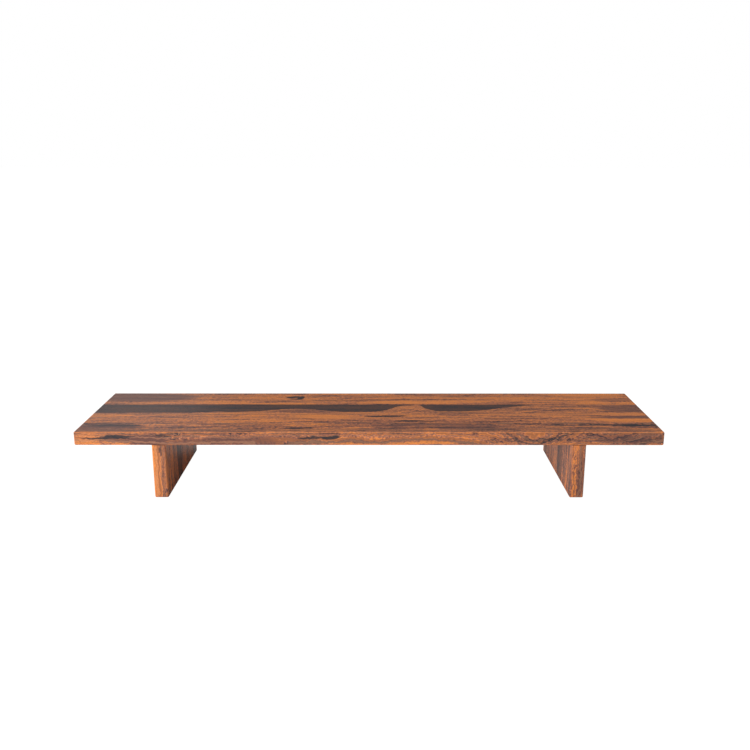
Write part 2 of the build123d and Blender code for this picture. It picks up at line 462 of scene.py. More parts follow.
def make_rosewood_figure():
    """The colour, gloss and relief of rosewood at a point inside the log."""
    tree, given, result = new_tree(
        "Rosewood Figure", "ShaderNodeTree",
        typed("Vector", "Wavy", "Pith")
        + typed("Float", "Swell", "Ink", "Plum", "Glow", "Tone", "End Grain", "Arris"),
        typed("Color", "Colour") + typed("Float", "Roughness", "Relief"))
    add = partial(add_node, tree)
    wood = bpy.context.scene.riser_wood
    wavy = given.outputs["Wavy"]

    # growth rings: the distance from the pith, read by a noise of broad bands and one of narrow lines
    from_pith = add("ShaderNodeVectorMath", {0: wavy, 1: given.outputs["Pith"]}, operation="SUBTRACT")
    flat = add("ShaderNodeVectorMath", {0: from_pith, 1: (0, 1, 1)}, operation="MULTIPLY")
    radius = add("ShaderNodeVectorMath", {0: flat}, operation="LENGTH").outputs["Value"]
    ring = add("ShaderNodeMath", {0: radius, 1: given.outputs["Swell"]}, operation="ADD")
    parts = {}
    for name, width, detail, roughness in (("bands", 9, 4.0, 0.68), ("lines", 2.7, 1.0, 0.5)):
        counted = add("ShaderNodeMath", {0: ring, 1: 1 / width}, operation="MULTIPLY")
        parts[name] = add(
            "ShaderNodeTexNoise", {"W": counted, "Scale": 1.0, "Detail": detail, "Roughness": roughness},
            noise_dimensions="1D")

    # slow patches, fibres, long streaks, the cross figure that shimmers across them, and flecks
    for name, along, across, detail, roughness in (
            ("patches", 150, 34, 3.0, 0.5), ("fibres", 20, 1.4, 3.0, 0.65), ("streaks", 130, 9, 2.0, 0.6),
            ("cross", 6, 13, 2.0, 0.5), ("flecks", 4.5, 2.4, 1.0, 0.5)):
        parts[name] = grain_noise(tree, wavy, along, across, detail, roughness)

    # one tone from dark to bright picks the ground colour
    tone = given.outputs["Tone"]
    for name, weight in (
            ("bands", 1.4), ("patches", 1.1), ("streaks", 1.9), ("lines", 2.2), ("fibres", 1.2),
            ("cross", 0.6), ("flecks", 1.1)):
        centred = add("ShaderNodeMath", {0: parts[name], 1: 0.5}, operation="SUBTRACT")
        tone = add("ShaderNodeMath", {0: centred, 1: weight, 2: tone}, operation="MULTIPLY_ADD")
    for mask, lift in (("Glow", 0.2), ("Plum", -0.22)):
        tone = add("ShaderNodeMath", {0: given.outputs[mask], 1: lift, 2: tone}, operation="MULTIPLY_ADD")
    ramp = add("ShaderNodeValToRGB", {"Fac": tone})
    stops = ((0.0, wood.ink), (0.25, wood.plum), (0.44, wood.middle), (0.60, wood.light), (0.84, wood.glow))
    while len(ramp.color_ramp.elements) < len(stops):
        ramp.color_ramp.elements.new(0.5)
    for element, (place, colour) in zip(ramp.color_ramp.elements, stops):
        element.position = place
        element.color = (*colour, 1)
    colour = ramp.outputs["Color"]

    # each ring line is dark at one side and light at the other
    dark_line, light_line = [
        add("ShaderNodeMapRange",
            {"Value": parts["lines"], "From Min": start, "From Max": end, "To Max": most},
            interpolation_type="SMOOTHSTEP")
        for start, end, most in ((0.48, 0.66, 0.6), (0.46, 0.3, 0.4))]
    # pores: drawn about twice their real width, as finer ones would not show
    cells = add("ShaderNodeVectorMath", {0: wavy, 1: (1 / 8, 1 / 0.95, 1 / 0.95)}, operation="MULTIPLY")
    pores = add("ShaderNodeTexVoronoi", {"Vector": cells, "Scale": 1.0})
    pore = add(
        "ShaderNodeMapRange", {"Value": pores.outputs["Distance"], "From Min": 0.34, "From Max": 0.16},
        interpolation_type="SMOOTHSTEP")

    # laid over the ground: the listed figure, ring lines and pores, then the end grain, which drinks more
    # lacquer and looks darker, and a painted highlight: the rounding of an edge is painted lighter where light
    # catches it
    for share, shade, amount in (
            (given.outputs["Glow"], wood.glow, 0.45), (given.outputs["Plum"], wood.plum, 0.55),
            (dark_line, wood.plum, 1.0), (light_line, wood.sheen, 1.0),
            (given.outputs["Ink"], wood.ink, 0.95), (pore, wood.ink, 0.5),
            (given.outputs["End Grain"], wood.plum, 0.45),
            (given.outputs["Arris"], wood.glow, 0.4)):
        share = add("ShaderNodeMath", {0: share, 1: amount}, operation="MULTIPLY")
        mix = add("ShaderNodeMix", {"Factor": share, "A": colour, "B": (*shade, 1)}, data_type="RGBA")
        colour = mix.outputs["Result"]

    fibres = parts["fibres"]
    gloss = add(
        "ShaderNodeMapRange",
        {"Value": fibres, "From Min": 0.3, "From Max": 0.7, "To Min": 0.34, "To Max": 0.46})
    dull = add("ShaderNodeMath", {0: pore, 1: 0.15, 2: gloss}, operation="MULTIPLY_ADD")
    depth = add("ShaderNodeMath", {0: pore, 1: -1.0}, operation="MULTIPLY")
    relief = add("ShaderNodeMath", {0: fibres, 1: 0.35, 2: depth}, operation="MULTIPLY_ADD")
    set_inputs(tree, result, {"Colour": colour, "Roughness": dull, "Relief": relief})
    return tree


def board_axes(point, upright):
    """A point of the shared frame as along, across and through a board with its grain upright or along X."""
    x, y, z = point
    return (z, y, x) if upright else (x, y, z)


def rosewood_material(name, marks, pith, tone, upright, zone=None):
    """Lacquered rosewood: oily orange-brown heartwood under a sprayed satin coat that softens reflections."""
    material, tree, surface = new_material(name)
    add = partial(add_node, tree)
    coordinates = tree.nodes.new("ShaderNodeTexCoord")
    facing = coordinates.outputs["Normal"]
    place = add(
        "ShaderNodeVectorMath", {0: coordinates.outputs["Object"], "Scale": 1 / MM}, operation="SCALE")
    if upright:
        apart = add("ShaderNodeSeparateXYZ", {0: place}).outputs
        place = add("ShaderNodeCombineXYZ", {"X": apart["Z"], "Y": apart["Y"], "Z": apart["X"]})
    warp_tree = shared_tree("Grain Warp", make_grain_warp)
    warp = add("ShaderNodeGroup", {"Position": place}, node_tree=warp_tree).outputs

    masks = {}

    def join(kind, mask):
        """Adds a mask to the ones of its kind: swells add up, and of the colours the stronger holds."""
        if kind in masks:
            joined = "ADD" if kind == "swell" else "MAXIMUM"
            mask = add("ShaderNodeMath", {0: masks[kind], 1: mask}, operation=joined)
        masks[kind] = mask

    for mark in marks:
        tilt, turn = mark.turn
        inside = add(
            "ShaderNodeMapping",
            {"Vector": warp["Wavy" if mark.kind in ("swell", "knot") else "Frayed"],
             "Location": board_axes(mark.centre, upright), "Scale": board_axes(mark.half, upright),
             "Rotation": (0, math.radians(tilt), math.radians(turn))},
            vector_type="TEXTURE")
        reach = add("ShaderNodeVectorMath", {0: inside}, operation="LENGTH").outputs["Value"]
        mask = add(
            "ShaderNodeMapRange",
            {"Value": reach, "From Min": MARK_REACH, "From Max": MARK_EDGE[mark.kind],
             "To Max": mark.strength},
            interpolation_type="SMOOTHSTEP")
        join("ink" if mark.kind == "knot" else mark.kind, mask)

    if zone:
        # a heartwood zone fills the stave from a border that the swells bend
        start, end, strength = zone
        level = add("ShaderNodeSeparateXYZ", {0: warp["Frayed"]}).outputs
        above = add("ShaderNodeMath", {0: level["Y"], 1: masks["swell"]}, operation="SUBTRACT")
        inside = add(
            "ShaderNodeMapRange",
            {"Value": above, "From Min": start - ZONE_EDGE, "From Max": start + ZONE_EDGE})
        held = add(
            "ShaderNodeMapRange",
            {"Value": level["X"], "From Min": end, "From Max": end - ZONE_FADE, "To Max": strength})
        join("ink", add("ShaderNodeMath", {0: inside, 1: held}, operation="MULTIPLY"))

    # a face that cuts across the grain shows its end grain
    apart = add("ShaderNodeSeparateXYZ", {0: facing}).outputs
    size = add("ShaderNodeMath", {0: apart["Z" if upright else "X"]}, operation="ABSOLUTE")
    ends = add("ShaderNodeMapRange", {"Value": size, "From Min": 0.7, "From Max": 0.95})
    # a rounding is where the surface faces no axis squarely; it gets a painted highlight
    turned = add("ShaderNodeVectorMath", {0: facing}, operation="ABSOLUTE")
    sides = add("ShaderNodeSeparateXYZ", {0: turned}).outputs
    widest = add("ShaderNodeMath", {0: sides["X"], 1: sides["Y"]}, operation="MAXIMUM")
    widest = add("ShaderNodeMath", {0: widest, 1: sides["Z"]}, operation="MAXIMUM")
    # painted highlight: upper edges, which face the light from above, are painted lighter than lower ones
    low_highlight, high_highlight = (0.1, 0.2) if upright else (0.2, 1.0)
    highlight_share = add(
        "ShaderNodeMapRange",
        {"Value": apart["Z"], "From Min": -0.3, "From Max": 0.3, "To Min": low_highlight, "To Max": high_highlight})
    painted_edge_highlight = add("ShaderNodeMapRange", {"Value": widest, "From Min": 0.99, "From Max": 0.88, "To Max": highlight_share})

    figure = add(
        "ShaderNodeGroup",
        {"Wavy": warp["Wavy"], "Pith": (0, *pith), "Tone": tone, "End Grain": ends, "Arris": painted_edge_highlight}
        | {kind.capitalize(): mask for kind, mask in masks.items()},
        node_tree=shared_tree("Rosewood Figure", make_rosewood_figure)).outputs
    bump = add("ShaderNodeBump", {"Height": figure["Relief"], "Strength": 0.5, "Distance": 0.12 * MM})
    set_inputs(tree, surface, {
        "Base Color": figure["Colour"], "Roughness": figure["Roughness"], "Normal": bump, "IOR": 1.46,
        "Specular IOR Level": 0.3, "Coat Weight": 0.06, "Coat Roughness": 0.3})
    return material


# Boards

# the bores that meet at one mouth, the widest first
BORES = ("Wide", "Middle", "Narrow")
# edges that turn further than this stay crisp
HARD_EDGE = math.radians(40)


def rounded_board(name, low, high, outer, settings):
    """A board from corner to corner, with each edge rounded where two outer faces of the panel meet."""
    shape = bmesh.new()
    bmesh.ops.create_cube(shape, size=1.0)
    bmesh.ops.scale(shape, vec=high - low, verts=shape.verts)
    bmesh.ops.translate(shape, vec=(low + high) / 2, verts=shape.verts)

    def is_outer(face):
        axis = max(range(3), key=lambda i: abs(face.normal[i]))
        return ("xyz"[axis] + ("+" if face.normal[axis] > 0 else "-")) in outer

    shape.normal_update()
    rounded = [edge for edge in shape.edges if all(is_outer(face) for face in edge.link_faces)]
    bmesh.ops.bevel(
        shape, geom=rounded, offset=settings.edge_radius, segments=settings.edge_segments, profile=0.5,
        affect="EDGES", clamp_overlap=False)
    return shape_object(name, shape)


def soften_and_paint(tree, shape, given, result):
    """The end of every tree: smooth faces with hard edges kept, real geometry, and the material."""
    add = partial(add_node, tree)
    smooth = add("GeometryNodeSetShadeSmooth", {"Geometry": shape}, domain="FACE")
    angle = tree.nodes.new("GeometryNodeInputMeshEdgeAngle").outputs["Unsigned Angle"]
    sharp = add("FunctionNodeCompare", {0: angle, 1: HARD_EDGE}, data_type="FLOAT", operation="GREATER_THAN")
    creased = add(
        "GeometryNodeSetShadeSmooth", {"Geometry": smooth, "Selection": sharp, "Shade Smooth": False},
        domain="EDGE")
    real = add("GeometryNodeRealizeInstances", {"Geometry": creased})
    painted = add("GeometryNodeSetMaterial", {"Geometry": real, "Material": given.outputs["Material"]})
    set_inputs(tree, result, {0: painted})


def make_bore_tree():
    """Drills up to three stepped bores from one mouth, at one or two places, and finishes the board."""
    tree, given, result = new_tree(
        "Stepped Bores", "GeometryNodeTree",
        typed("Geometry", "Board") + typed("Int", "Count", "Segments") + typed("Vector", "First", "Step")
        + typed("Float", *(f"{bore} {size}" for bore in BORES for size in ("Radius", "From", "To")))
        + typed("Material", "Material"),
        typed("Geometry", "Board"))
    add = partial(add_node, tree)
    sizes = given.outputs
    centres = add(
        "GeometryNodeMeshLine",
        {"Count": sizes["Count"], "Start Location": sizes["First"], "Offset": sizes["Step"]}, mode="OFFSET")
    board = sizes["Board"]
    for bore in BORES:
        start, end = sizes[f"{bore} From"], sizes[f"{bore} To"]
        total = add("ShaderNodeMath", {0: start, 1: end}, operation="ADD")
        middle = add("ShaderNodeMath", {0: total, 1: 0.5}, operation="MULTIPLY")
        length = add("ShaderNodeMath", {0: end, 1: start}, operation="SUBTRACT")
        drill = add(
            "GeometryNodeMeshCylinder",
            {"Vertices": sizes["Segments"], "Radius": sizes[f"{bore} Radius"], "Depth": length})
        lift = add("ShaderNodeCombineXYZ", {"Z": middle})
        raised = add("GeometryNodeTransform", {"Geometry": drill.outputs["Mesh"], "Translation": lift})
        drills = add("GeometryNodeInstanceOnPoints", {"Points": centres, "Instance": raised})
        solid = add("GeometryNodeRealizeInstances", {"Geometry": drills})
        cut = add("GeometryNodeMeshBoolean", {"Mesh 1": board, "Mesh 2": solid}, operation="DIFFERENCE")
        board = cut.outputs["Mesh"]
    soften_and_paint(tree, board, given, result)
    return tree


def drill_board(piece, count, first, step, bores, settings, material):
    """Drills and paints a board; bores that aren't wanted stand clear of it, as specks far above."""
    values = {
        "Count": count, "First": first, "Step": step, "Segments": settings.bore_segments,
        "Material": material}
    clear = (0.1 * MM, 1.0, 1.001)
    for name, (radius, start, end) in zip(BORES, [*bores, clear, clear]):
        values |= {f"{name} Radius": radius, f"{name} From": start, f"{name} To": end}
    modify(piece, shared_tree("Stepped Bores", make_bore_tree), values)
    weighted = piece.modifiers.new("Flat faces", "WEIGHTED_NORMAL")
    weighted.keep_sharp = True
    weighted.weight = 100
    bake_modifiers(piece)


def outer_faces(name, top):
    """Which faces of a stave are outer faces of its panel; a leg's top is against the shelf."""
    faces = {"x-", "x+", "z-"}
    if top:
        faces.add("z+")
    if name == "front":
        faces.add("y-")
    if name == "back":
        faces.add("y+")
    return faces


class RISER_OT_shelf(bpy.types.Operator):
    """Builds the four staves of the shelf, drilled from below for inserts and dowels"""
    bl_idname = "riser.shelf"
    bl_label = "Shelf Staves"

    def execute(self, context):
        settings = context.scene.riser_boards
        for name in STAVES:
            node = f"shelf_stave_{name}"
            low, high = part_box(node)
            fitting = "threaded_insert" if name in BOLTED else "dowel"
            (x_left, y), (x_right, _) = [node_axis(f"{side}_{name}_{fitting}") for side in SIDES]
            mouth = low.z - MM
            fitting_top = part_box(f"left_{name}_{fitting}")[1].z
            if name in BOLTED:
                bolt_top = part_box(f"left_{name}_bolt")[1].z
                bores = [(settings.insert_bore, mouth, fitting_top),
                         (settings.bolt_bore, mouth, bolt_top + settings.end_gap)]
            else:
                bores = [(settings.dowel_bore, mouth, fitting_top + settings.end_gap)]
            middle = (low + high) / 2
            pith = (middle.y / MM + PITH[name][0], middle.z / MM + PITH[name][1])
            material = rosewood_material(
                f"Lacquered rosewood, shelf {name}", SHELF_MARKS[name], pith, SHELF_TONE[name], False,
                DARK_ZONE.get(name))
            piece = rounded_board(f"shelf_board_{name}", low, high, outer_faces(name, True), settings)
            drill_board(piece, 2, (x_left, y, 0), (x_right - x_left, 0, 0), bores, settings, material)
            finish_piece(piece, "shelf_wood", node)
        return {"FINISHED"}


class RISER_OT_legs(bpy.types.Operator):
    """Builds the four upright staves of each leg, drilled for bolts and dowels"""
    bl_idname = "riser.legs"
    bl_label = "Leg Staves"

    def execute(self, context):
        settings = context.scene.riser_boards
        for side in SIDES:
            for name in STAVES:
                node = f"{side}_leg_stave_{name}"
                low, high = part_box(node)
                x, y = node_axis(node)
                mouth, above = low.z - MM, high.z + MM
                if name in BOLTED:
                    washer_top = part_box(f"{side}_{name}_washer")[1].z
                    pad_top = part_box(f"{side}_{name}_foot_pad")[1].z
                    bores = [(settings.pad_bore, mouth, pad_top), (settings.head_bore, mouth, washer_top),
                             (settings.bolt_bore, mouth, above)]
                else:
                    dowel_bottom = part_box(f"{side}_{name}_dowel")[0].z
                    bores = [(settings.dowel_bore, dowel_bottom - settings.end_gap, above)]
                marks = [
                    Mark(m.kind, (x / MM, m.centre[1], m.centre[2]), m.half, m.strength * LEG_CONTRAST[side])
                    for m in LEG_MARKS[name]]
                if name == "front":
                    marks += LEG_FRONT_MARKS[side]
                pith = (y / MM + PITH[name][0], x / MM + PITH[name][1] + LEG_PITH_SHIFT[side])
                material = rosewood_material(
                    f"Lacquered rosewood, {side} leg {name}", marks, pith, LEG_TONE, True)
                piece = rounded_board(
                    f"{side}_leg_board_{name}", low, high, outer_faces(name, False), settings)
                drill_board(piece, 1, (x, y, 0), (0, 0, 0), bores, settings, material)
                finish_piece(piece, "leg_wood", node)
        return {"FINISHED"}


# Hardware

# how far from its radius a turned wall's points are still taken as on it
SLACK = 0.1 * MM


def turned_piece(name, outline, axis, segments, ring=False, six_sided=()):
    """A shape turned about an upright axis from (radius, height) points, from its lowest inner one outwards.

    Both ends of the outline lie on the axis, or the outline closes on itself for a ring. Points whose numbers
    are in six_sided are across the flats of a hexagon.
    """
    shape = bmesh.new()
    rows = []
    for number, (radius, height) in enumerate(outline):
        row = []
        for i in range(segments):
            angle = 2 * math.pi * i / segments
            reach = radius
            if number in six_sided:
                reach = radius / math.cos((angle + math.pi / 6) % (math.pi / 3) - math.pi / 6)
            # a point on the axis is one corner for its whole row
            if radius > 0 or i == 0:
                place = (axis[0] + reach * math.cos(angle), axis[1] + reach * math.sin(angle), height)
                corner = shape.verts.new(place)
            row.append(corner)
        rows.append(row)
    pairs = list(zip(rows, rows[1:]))
    if ring:
        pairs.append((rows[-1], rows[0]))
    for lower, upper in pairs:
        for i in range(segments):
            after = (i + 1) % segments
            corners = dict.fromkeys((lower[i], lower[after], upper[after], upper[i]))
            shape.faces.new(list(corners))
    bmesh.ops.recalc_face_normals(shape, faces=shape.faces)
    return shape_object(name, shape)


def evenly(start, end, count):
    """Evenly spaced values from start to end."""
    return [start + (end - start) * i / count for i in range(count + 1)]


def rounded_edge(reach, low, rounding, angles, way=-1):
    """Outline points of a rounded lower edge; way is -1 at an outer wall and 1 at an inner one."""
    return [(reach + way * rounding * (1 - math.sin(a)), low + rounding * (1 - math.cos(a))) for a in angles]


def turned_tree(name, inputs=()):
    """A tree for a turned part: its geometry, the inputs given here, and its material."""
    return new_tree(
        name, "GeometryNodeTree", [*typed("Geometry", "Geometry"), *inputs, *typed("Material", "Material")],
        typed("Geometry", "Geometry"))


def axis_nodes(tree, given):
    """Nodes for a point's place round an upright axis: radius, height, turn from 0 to 1 and outward way."""
    add = partial(add_node, tree)
    place = tree.nodes.new("GeometryNodeInputPosition")
    from_axis = add("ShaderNodeVectorMath", {0: place, 1: given.outputs["Axis"]}, operation="SUBTRACT")
    level = add("ShaderNodeVectorMath", {0: from_axis, 1: (1, 1, 0)}, operation="MULTIPLY")
    radius = add("ShaderNodeVectorMath", {0: level}, operation="LENGTH")
    outward = add("ShaderNodeVectorMath", {0: level}, operation="NORMALIZE")
    apart = add("ShaderNodeSeparateXYZ", {0: from_axis}).outputs
    angle = add("ShaderNodeMath", {0: apart["Y"], 1: apart["X"]}, operation="ARCTAN2")
    turn = add("ShaderNodeMath", {0: angle, 1: 1 / (2 * math.pi)}, operation="MULTIPLY")
    return radius.outputs["Value"], apart["Z"], turn, outward


def between(tree, given, value, low, high):
    """A factor that is 1 between two inputs of the tree and falls to 0 over its Fade inside each end."""
    low, high, fade = given.outputs[low], given.outputs[high], given.outputs["Fade"]
    low_end = add_node(tree, "ShaderNodeMath", {0: low, 1: fade}, operation="ADD")
    high_end = add_node(tree, "ShaderNodeMath", {0: high, 1: fade}, operation="SUBTRACT")
    rising = add_node(tree, "ShaderNodeMapRange", {"Value": value, "From Min": low, "From Max": low_end})
    falling = add_node(tree, "ShaderNodeMapRange", {"Value": value, "From Min": high, "From Max": high_end})
    return add_node(tree, "ShaderNodeMath", {0: rising, 1: falling}, operation="MULTIPLY")


def groove(tree, along, crest, root, blend="LINEAR"):
    """A factor that is 0 on the crests and 1 in the grooves, where along counts the grooves."""
    flank = add_node(tree, "ShaderNodeMath", {0: along, 1: 0.5}, operation="PINGPONG")
    return add_node(
        tree, "ShaderNodeMapRange", {"Value": flank, "From Min": crest, "From Max": root},
        interpolation_type=blend)


def cut_grooves(tree, given, result, way, *factors):
    """The end of a tree that cuts grooves: it moves points along a way, by the depth times every factor."""
    depth = given.outputs["Depth"]
    for factor in factors:
        depth = add_node(tree, "ShaderNodeMath", {0: depth, 1: factor}, operation="MULTIPLY")
    shift = add_node(tree, "ShaderNodeVectorMath", {0: way, "Scale": depth}, operation="SCALE")
    moved = add_node(
        tree, "GeometryNodeSetPosition", {"Geometry": given.outputs["Geometry"], "Offset": shift})
    soften_and_paint(tree, moved, given, result)
    return tree


def make_thread_tree():
    """Cuts a screw thread into a turned part, between two heights and two radii."""
    tree, given, result = turned_tree(
        "Screw Thread", typed("Vector", "Axis")
        + typed("Float", "Depth", "Low", "High", "Fade", "Inside", "Outside", "Pitch"))
    add = partial(add_node, tree)
    radius, height, turn, outward = axis_nodes(tree, given)
    climbed = add("ShaderNodeMath", {0: height, 1: given.outputs["Pitch"]}, operation="DIVIDE")
    along = add("ShaderNodeMath", {0: climbed, 1: turn}, operation="SUBTRACT")
    wall = add("ShaderNodeMath", {0: radius, 1: given.outputs["Inside"]}, operation="GREATER_THAN")
    wall_end = add("ShaderNodeMath", {0: radius, 1: given.outputs["Outside"]}, operation="LESS_THAN")
    return cut_grooves(
        tree, given, result, outward, -1.0, groove(tree, along, 0.06, 0.44),
        between(tree, given, height, "Low", "High"), wall, wall_end)


def make_flute_tree():
    """Cuts upright grooves round a turned part, between two heights."""
    tree, given, result = turned_tree(
        "Upright Flutes", typed("Vector", "Axis") + typed("Float", "Depth", "Low", "High", "Fade", "Inside")
        + typed("Int", "Count"))
    add = partial(add_node, tree)
    radius, height, turn, outward = axis_nodes(tree, given)
    along = add("ShaderNodeMath", {0: turn, 1: given.outputs["Count"]}, operation="MULTIPLY")
    wall = add("ShaderNodeMath", {0: radius, 1: given.outputs["Inside"]}, operation="GREATER_THAN")
    return cut_grooves(
        tree, given, result, outward, -1.0, groove(tree, along, 0.0, 0.5),
        between(tree, given, height, "Low", "High"), wall)


def make_rib_tree():
    """Presses ring grooves into the underside of a foot; the ribs between them stay on the floor."""
    tree, given, result = turned_tree(
        "Ring Ribs", typed("Vector", "Axis")
        + typed("Float", "Depth", "High", "Fade", "Inside", "Outside", "Pitch"))
    add = partial(add_node, tree)
    radius, height, _, _ = axis_nodes(tree, given)
    along = add("ShaderNodeMath", {0: radius, 1: given.outputs["Pitch"]}, operation="DIVIDE")
    under = add("ShaderNodeMath", {0: height, 1: given.outputs["High"]}, operation="LESS_THAN")
    return cut_grooves(
        tree, given, result, (0, 0, 1), groove(tree, along, 0.1, 0.4, "SMOOTHSTEP"),
        between(tree, given, radius, "Inside", "Outside"), under)


def make_paint_tree():
    """Smooths a plain turned part and gives it its material."""
    tree, given, result = turned_tree("Paint Only")
    soften_and_paint(tree, given.outputs["Geometry"], given, result)
    return tree


def plain_material(name, colour, metallic, roughness, fleck, relief, grain, spread):
    """A paint-free finish of one colour: fleck is the second colour, grain the pattern's size in millimetres
    along X, Y and Z, relief its depth in millimetres, and spread how much its roughness varies."""
    material, tree, shader = new_material(name)
    add = partial(add_node, tree)
    place = tree.nodes.new("ShaderNodeTexCoord").outputs["Object"]
    per_grain = [1 / (size * MM) for size in grain]
    scaled = add("ShaderNodeVectorMath", {0: place, 1: per_grain}, operation="MULTIPLY")
    noise = add("ShaderNodeTexNoise", {"Vector": scaled, "Scale": 1.0, "Detail": 4.0, "Roughness": 0.6})
    patches = add("ShaderNodeMapRange", {"Value": noise, "From Min": 0.35, "From Max": 0.7})
    tone = add(
        "ShaderNodeMix", {"Factor": patches, "A": (*linear(colour), 1), "B": (*linear(fleck), 1)},
        data_type="RGBA")
    gloss = add(
        "ShaderNodeMapRange",
        {"Value": noise, "From Min": 0.3, "From Max": 0.7, "To Min": roughness - spread,
         "To Max": roughness + spread})
    bump = add("ShaderNodeBump", {"Height": noise, "Strength": 1.0, "Distance": relief * MM})
    set_inputs(tree, shader, {"Base Color": tone, "Roughness": gloss, "Normal": bump, "Metallic": metallic})
    return material


def bolted_places():
    """Each side and stave that a bolt joins, with the bolt's axis."""
    return [(side, name, node_axis(f"{side}_{name}_bolt")) for side in SIDES for name in BOLTED]


class RISER_OT_bolts(bpy.types.Operator):
    """Makes the four socket bolts, with knurled heads and cut threads"""
    bl_idname = "riser.bolts"
    bl_label = "Socket Bolts"

    def execute(self, context):
        sizes = context.scene.riser_hardware
        # black oxide: a thin dark skin on turned steel, so it still gleams a little along the turning lines
        oxide = plain_material(
            "Black-oxide steel, turned", "2B2C2F", 0.9, 0.36, "3A3A3C", 0.004, (3, 3, 0.3), 0.08)
        thread = shared_tree("Screw Thread", make_thread_tree)
        flutes = shared_tree("Upright Flutes", make_flute_tree)
        for side, name, (x, y) in bolted_places():
            node = f"{side}_{name}_bolt"
            low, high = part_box(node)
            head_radius = (high.x - low.x) / 2
            shank = head_radius * 0.6
            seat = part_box(f"{side}_{name}_washer")[0].z
            flat = sizes.socket_width / 2
            corner = flat / math.cos(math.pi / 6)
            base, socket_top = low.z, low.z + sizes.socket_depth
            rounding = 0.5 * MM
            # the socket's drilled point, its flats and its mouth
            outline = [(0, socket_top + 0.9 * MM), (flat * 0.55, socket_top + 0.45 * MM), (flat, socket_top),
                       (flat, base + 0.35 * MM), (corner + 0.15 * MM, base), (head_radius - rounding, base)]
            # the head, up to its seat on the washer
            outline += rounded_edge(head_radius, base, rounding, evenly(math.pi / 10, math.pi / 2, 4))
            outline += [(head_radius, z) for z in evenly(base + 1.0 * MM, seat - 0.7 * MM, 8)]
            outline += [(head_radius, seat - 0.2 * MM), (head_radius - 0.2 * MM, seat)]
            # a small fillet runs from the seat into the shank
            outline += [(shank + 0.3 * MM, seat), (shank + 0.08 * MM, seat + 0.12 * MM)]
            outline += [(shank, seat + 0.35 * MM)]
            # the shank, with rows close enough for the thread, and its tip
            thread_low = high.z - sizes.bolt_thread_length
            thread_high = high.z - sizes.tip_chamfer
            rows = round((thread_high - thread_low) / sizes.bolt_pitch * 8)
            outline += [(shank, z) for z in evenly(thread_low, thread_high, rows)]
            outline += [(shank - sizes.tip_chamfer, high.z), (0, high.z)]
            piece = turned_piece(
                f"{side}_{name}_socket_bolt", outline, (x, y), sizes.segments, six_sided=(2, 3))
            modify(piece, thread, {
                "Axis": (x, y, 0), "Pitch": sizes.bolt_pitch, "Depth": sizes.bolt_thread_depth,
                "Low": thread_low, "High": high.z, "Fade": 0.8 * MM,
                "Inside": shank - SLACK, "Outside": shank + SLACK, "Material": oxide})
            modify(piece, flutes, {
                "Axis": (x, y, 0), "Count": sizes.knurl_count, "Depth": sizes.knurl_depth,
                "Low": base + 0.9 * MM, "High": seat - 0.6 * MM, "Fade": 0.4 * MM,
                "Inside": head_radius - SLACK, "Material": oxide})
            bake_modifiers(piece)
            finish_piece(piece, "bolt_steel", node)
        return {"FINISHED"}


class RISER_OT_washers(bpy.types.Operator):
    """Makes the four flat washers under the bolt heads"""
    bl_idname = "riser.washers"
    bl_label = "Flat Washers"

    def execute(self, context):
        sizes = context.scene.riser_hardware
        # bright zinc: a barrel-plated skin with a faint cloudy bloom and tumbled, slightly dull faces
        zinc = plain_material(
            "Bright zinc plate, stamped steel", "C3C7CA", 1.0, 0.32, "A9AEB4", 0.006, (2, 2, 2), 0.08)
        paint = shared_tree("Paint Only", make_paint_tree)
        roll, burr = 0.35 * MM, 0.08 * MM
        for side, name, (x, y) in bolted_places():
            node = f"{side}_{name}_washer"
            low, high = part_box(node)
            inner, outer = sizes.washer_bore, (high.x - low.x) / 2
            # stamped from below: rounded where the punch entered, crisp where it left
            outline = rounded_edge(inner, low.z, roll, evenly(math.pi / 2, 0, 5), way=1)
            outline += rounded_edge(outer, low.z, roll, evenly(0, math.pi / 2, 5))
            outline += [(outer, high.z - burr), (outer - burr, high.z)]
            outline += [(inner + burr, high.z), (inner, high.z - burr)]
            piece = turned_piece(f"{side}_{name}_flat_washer", outline, (x, y), sizes.segments, ring=True)
            modify(piece, paint, {"Material": zinc})
            bake_modifiers(piece)
            finish_piece(piece, "washer_zinc", node)
        return {"FINISHED"}


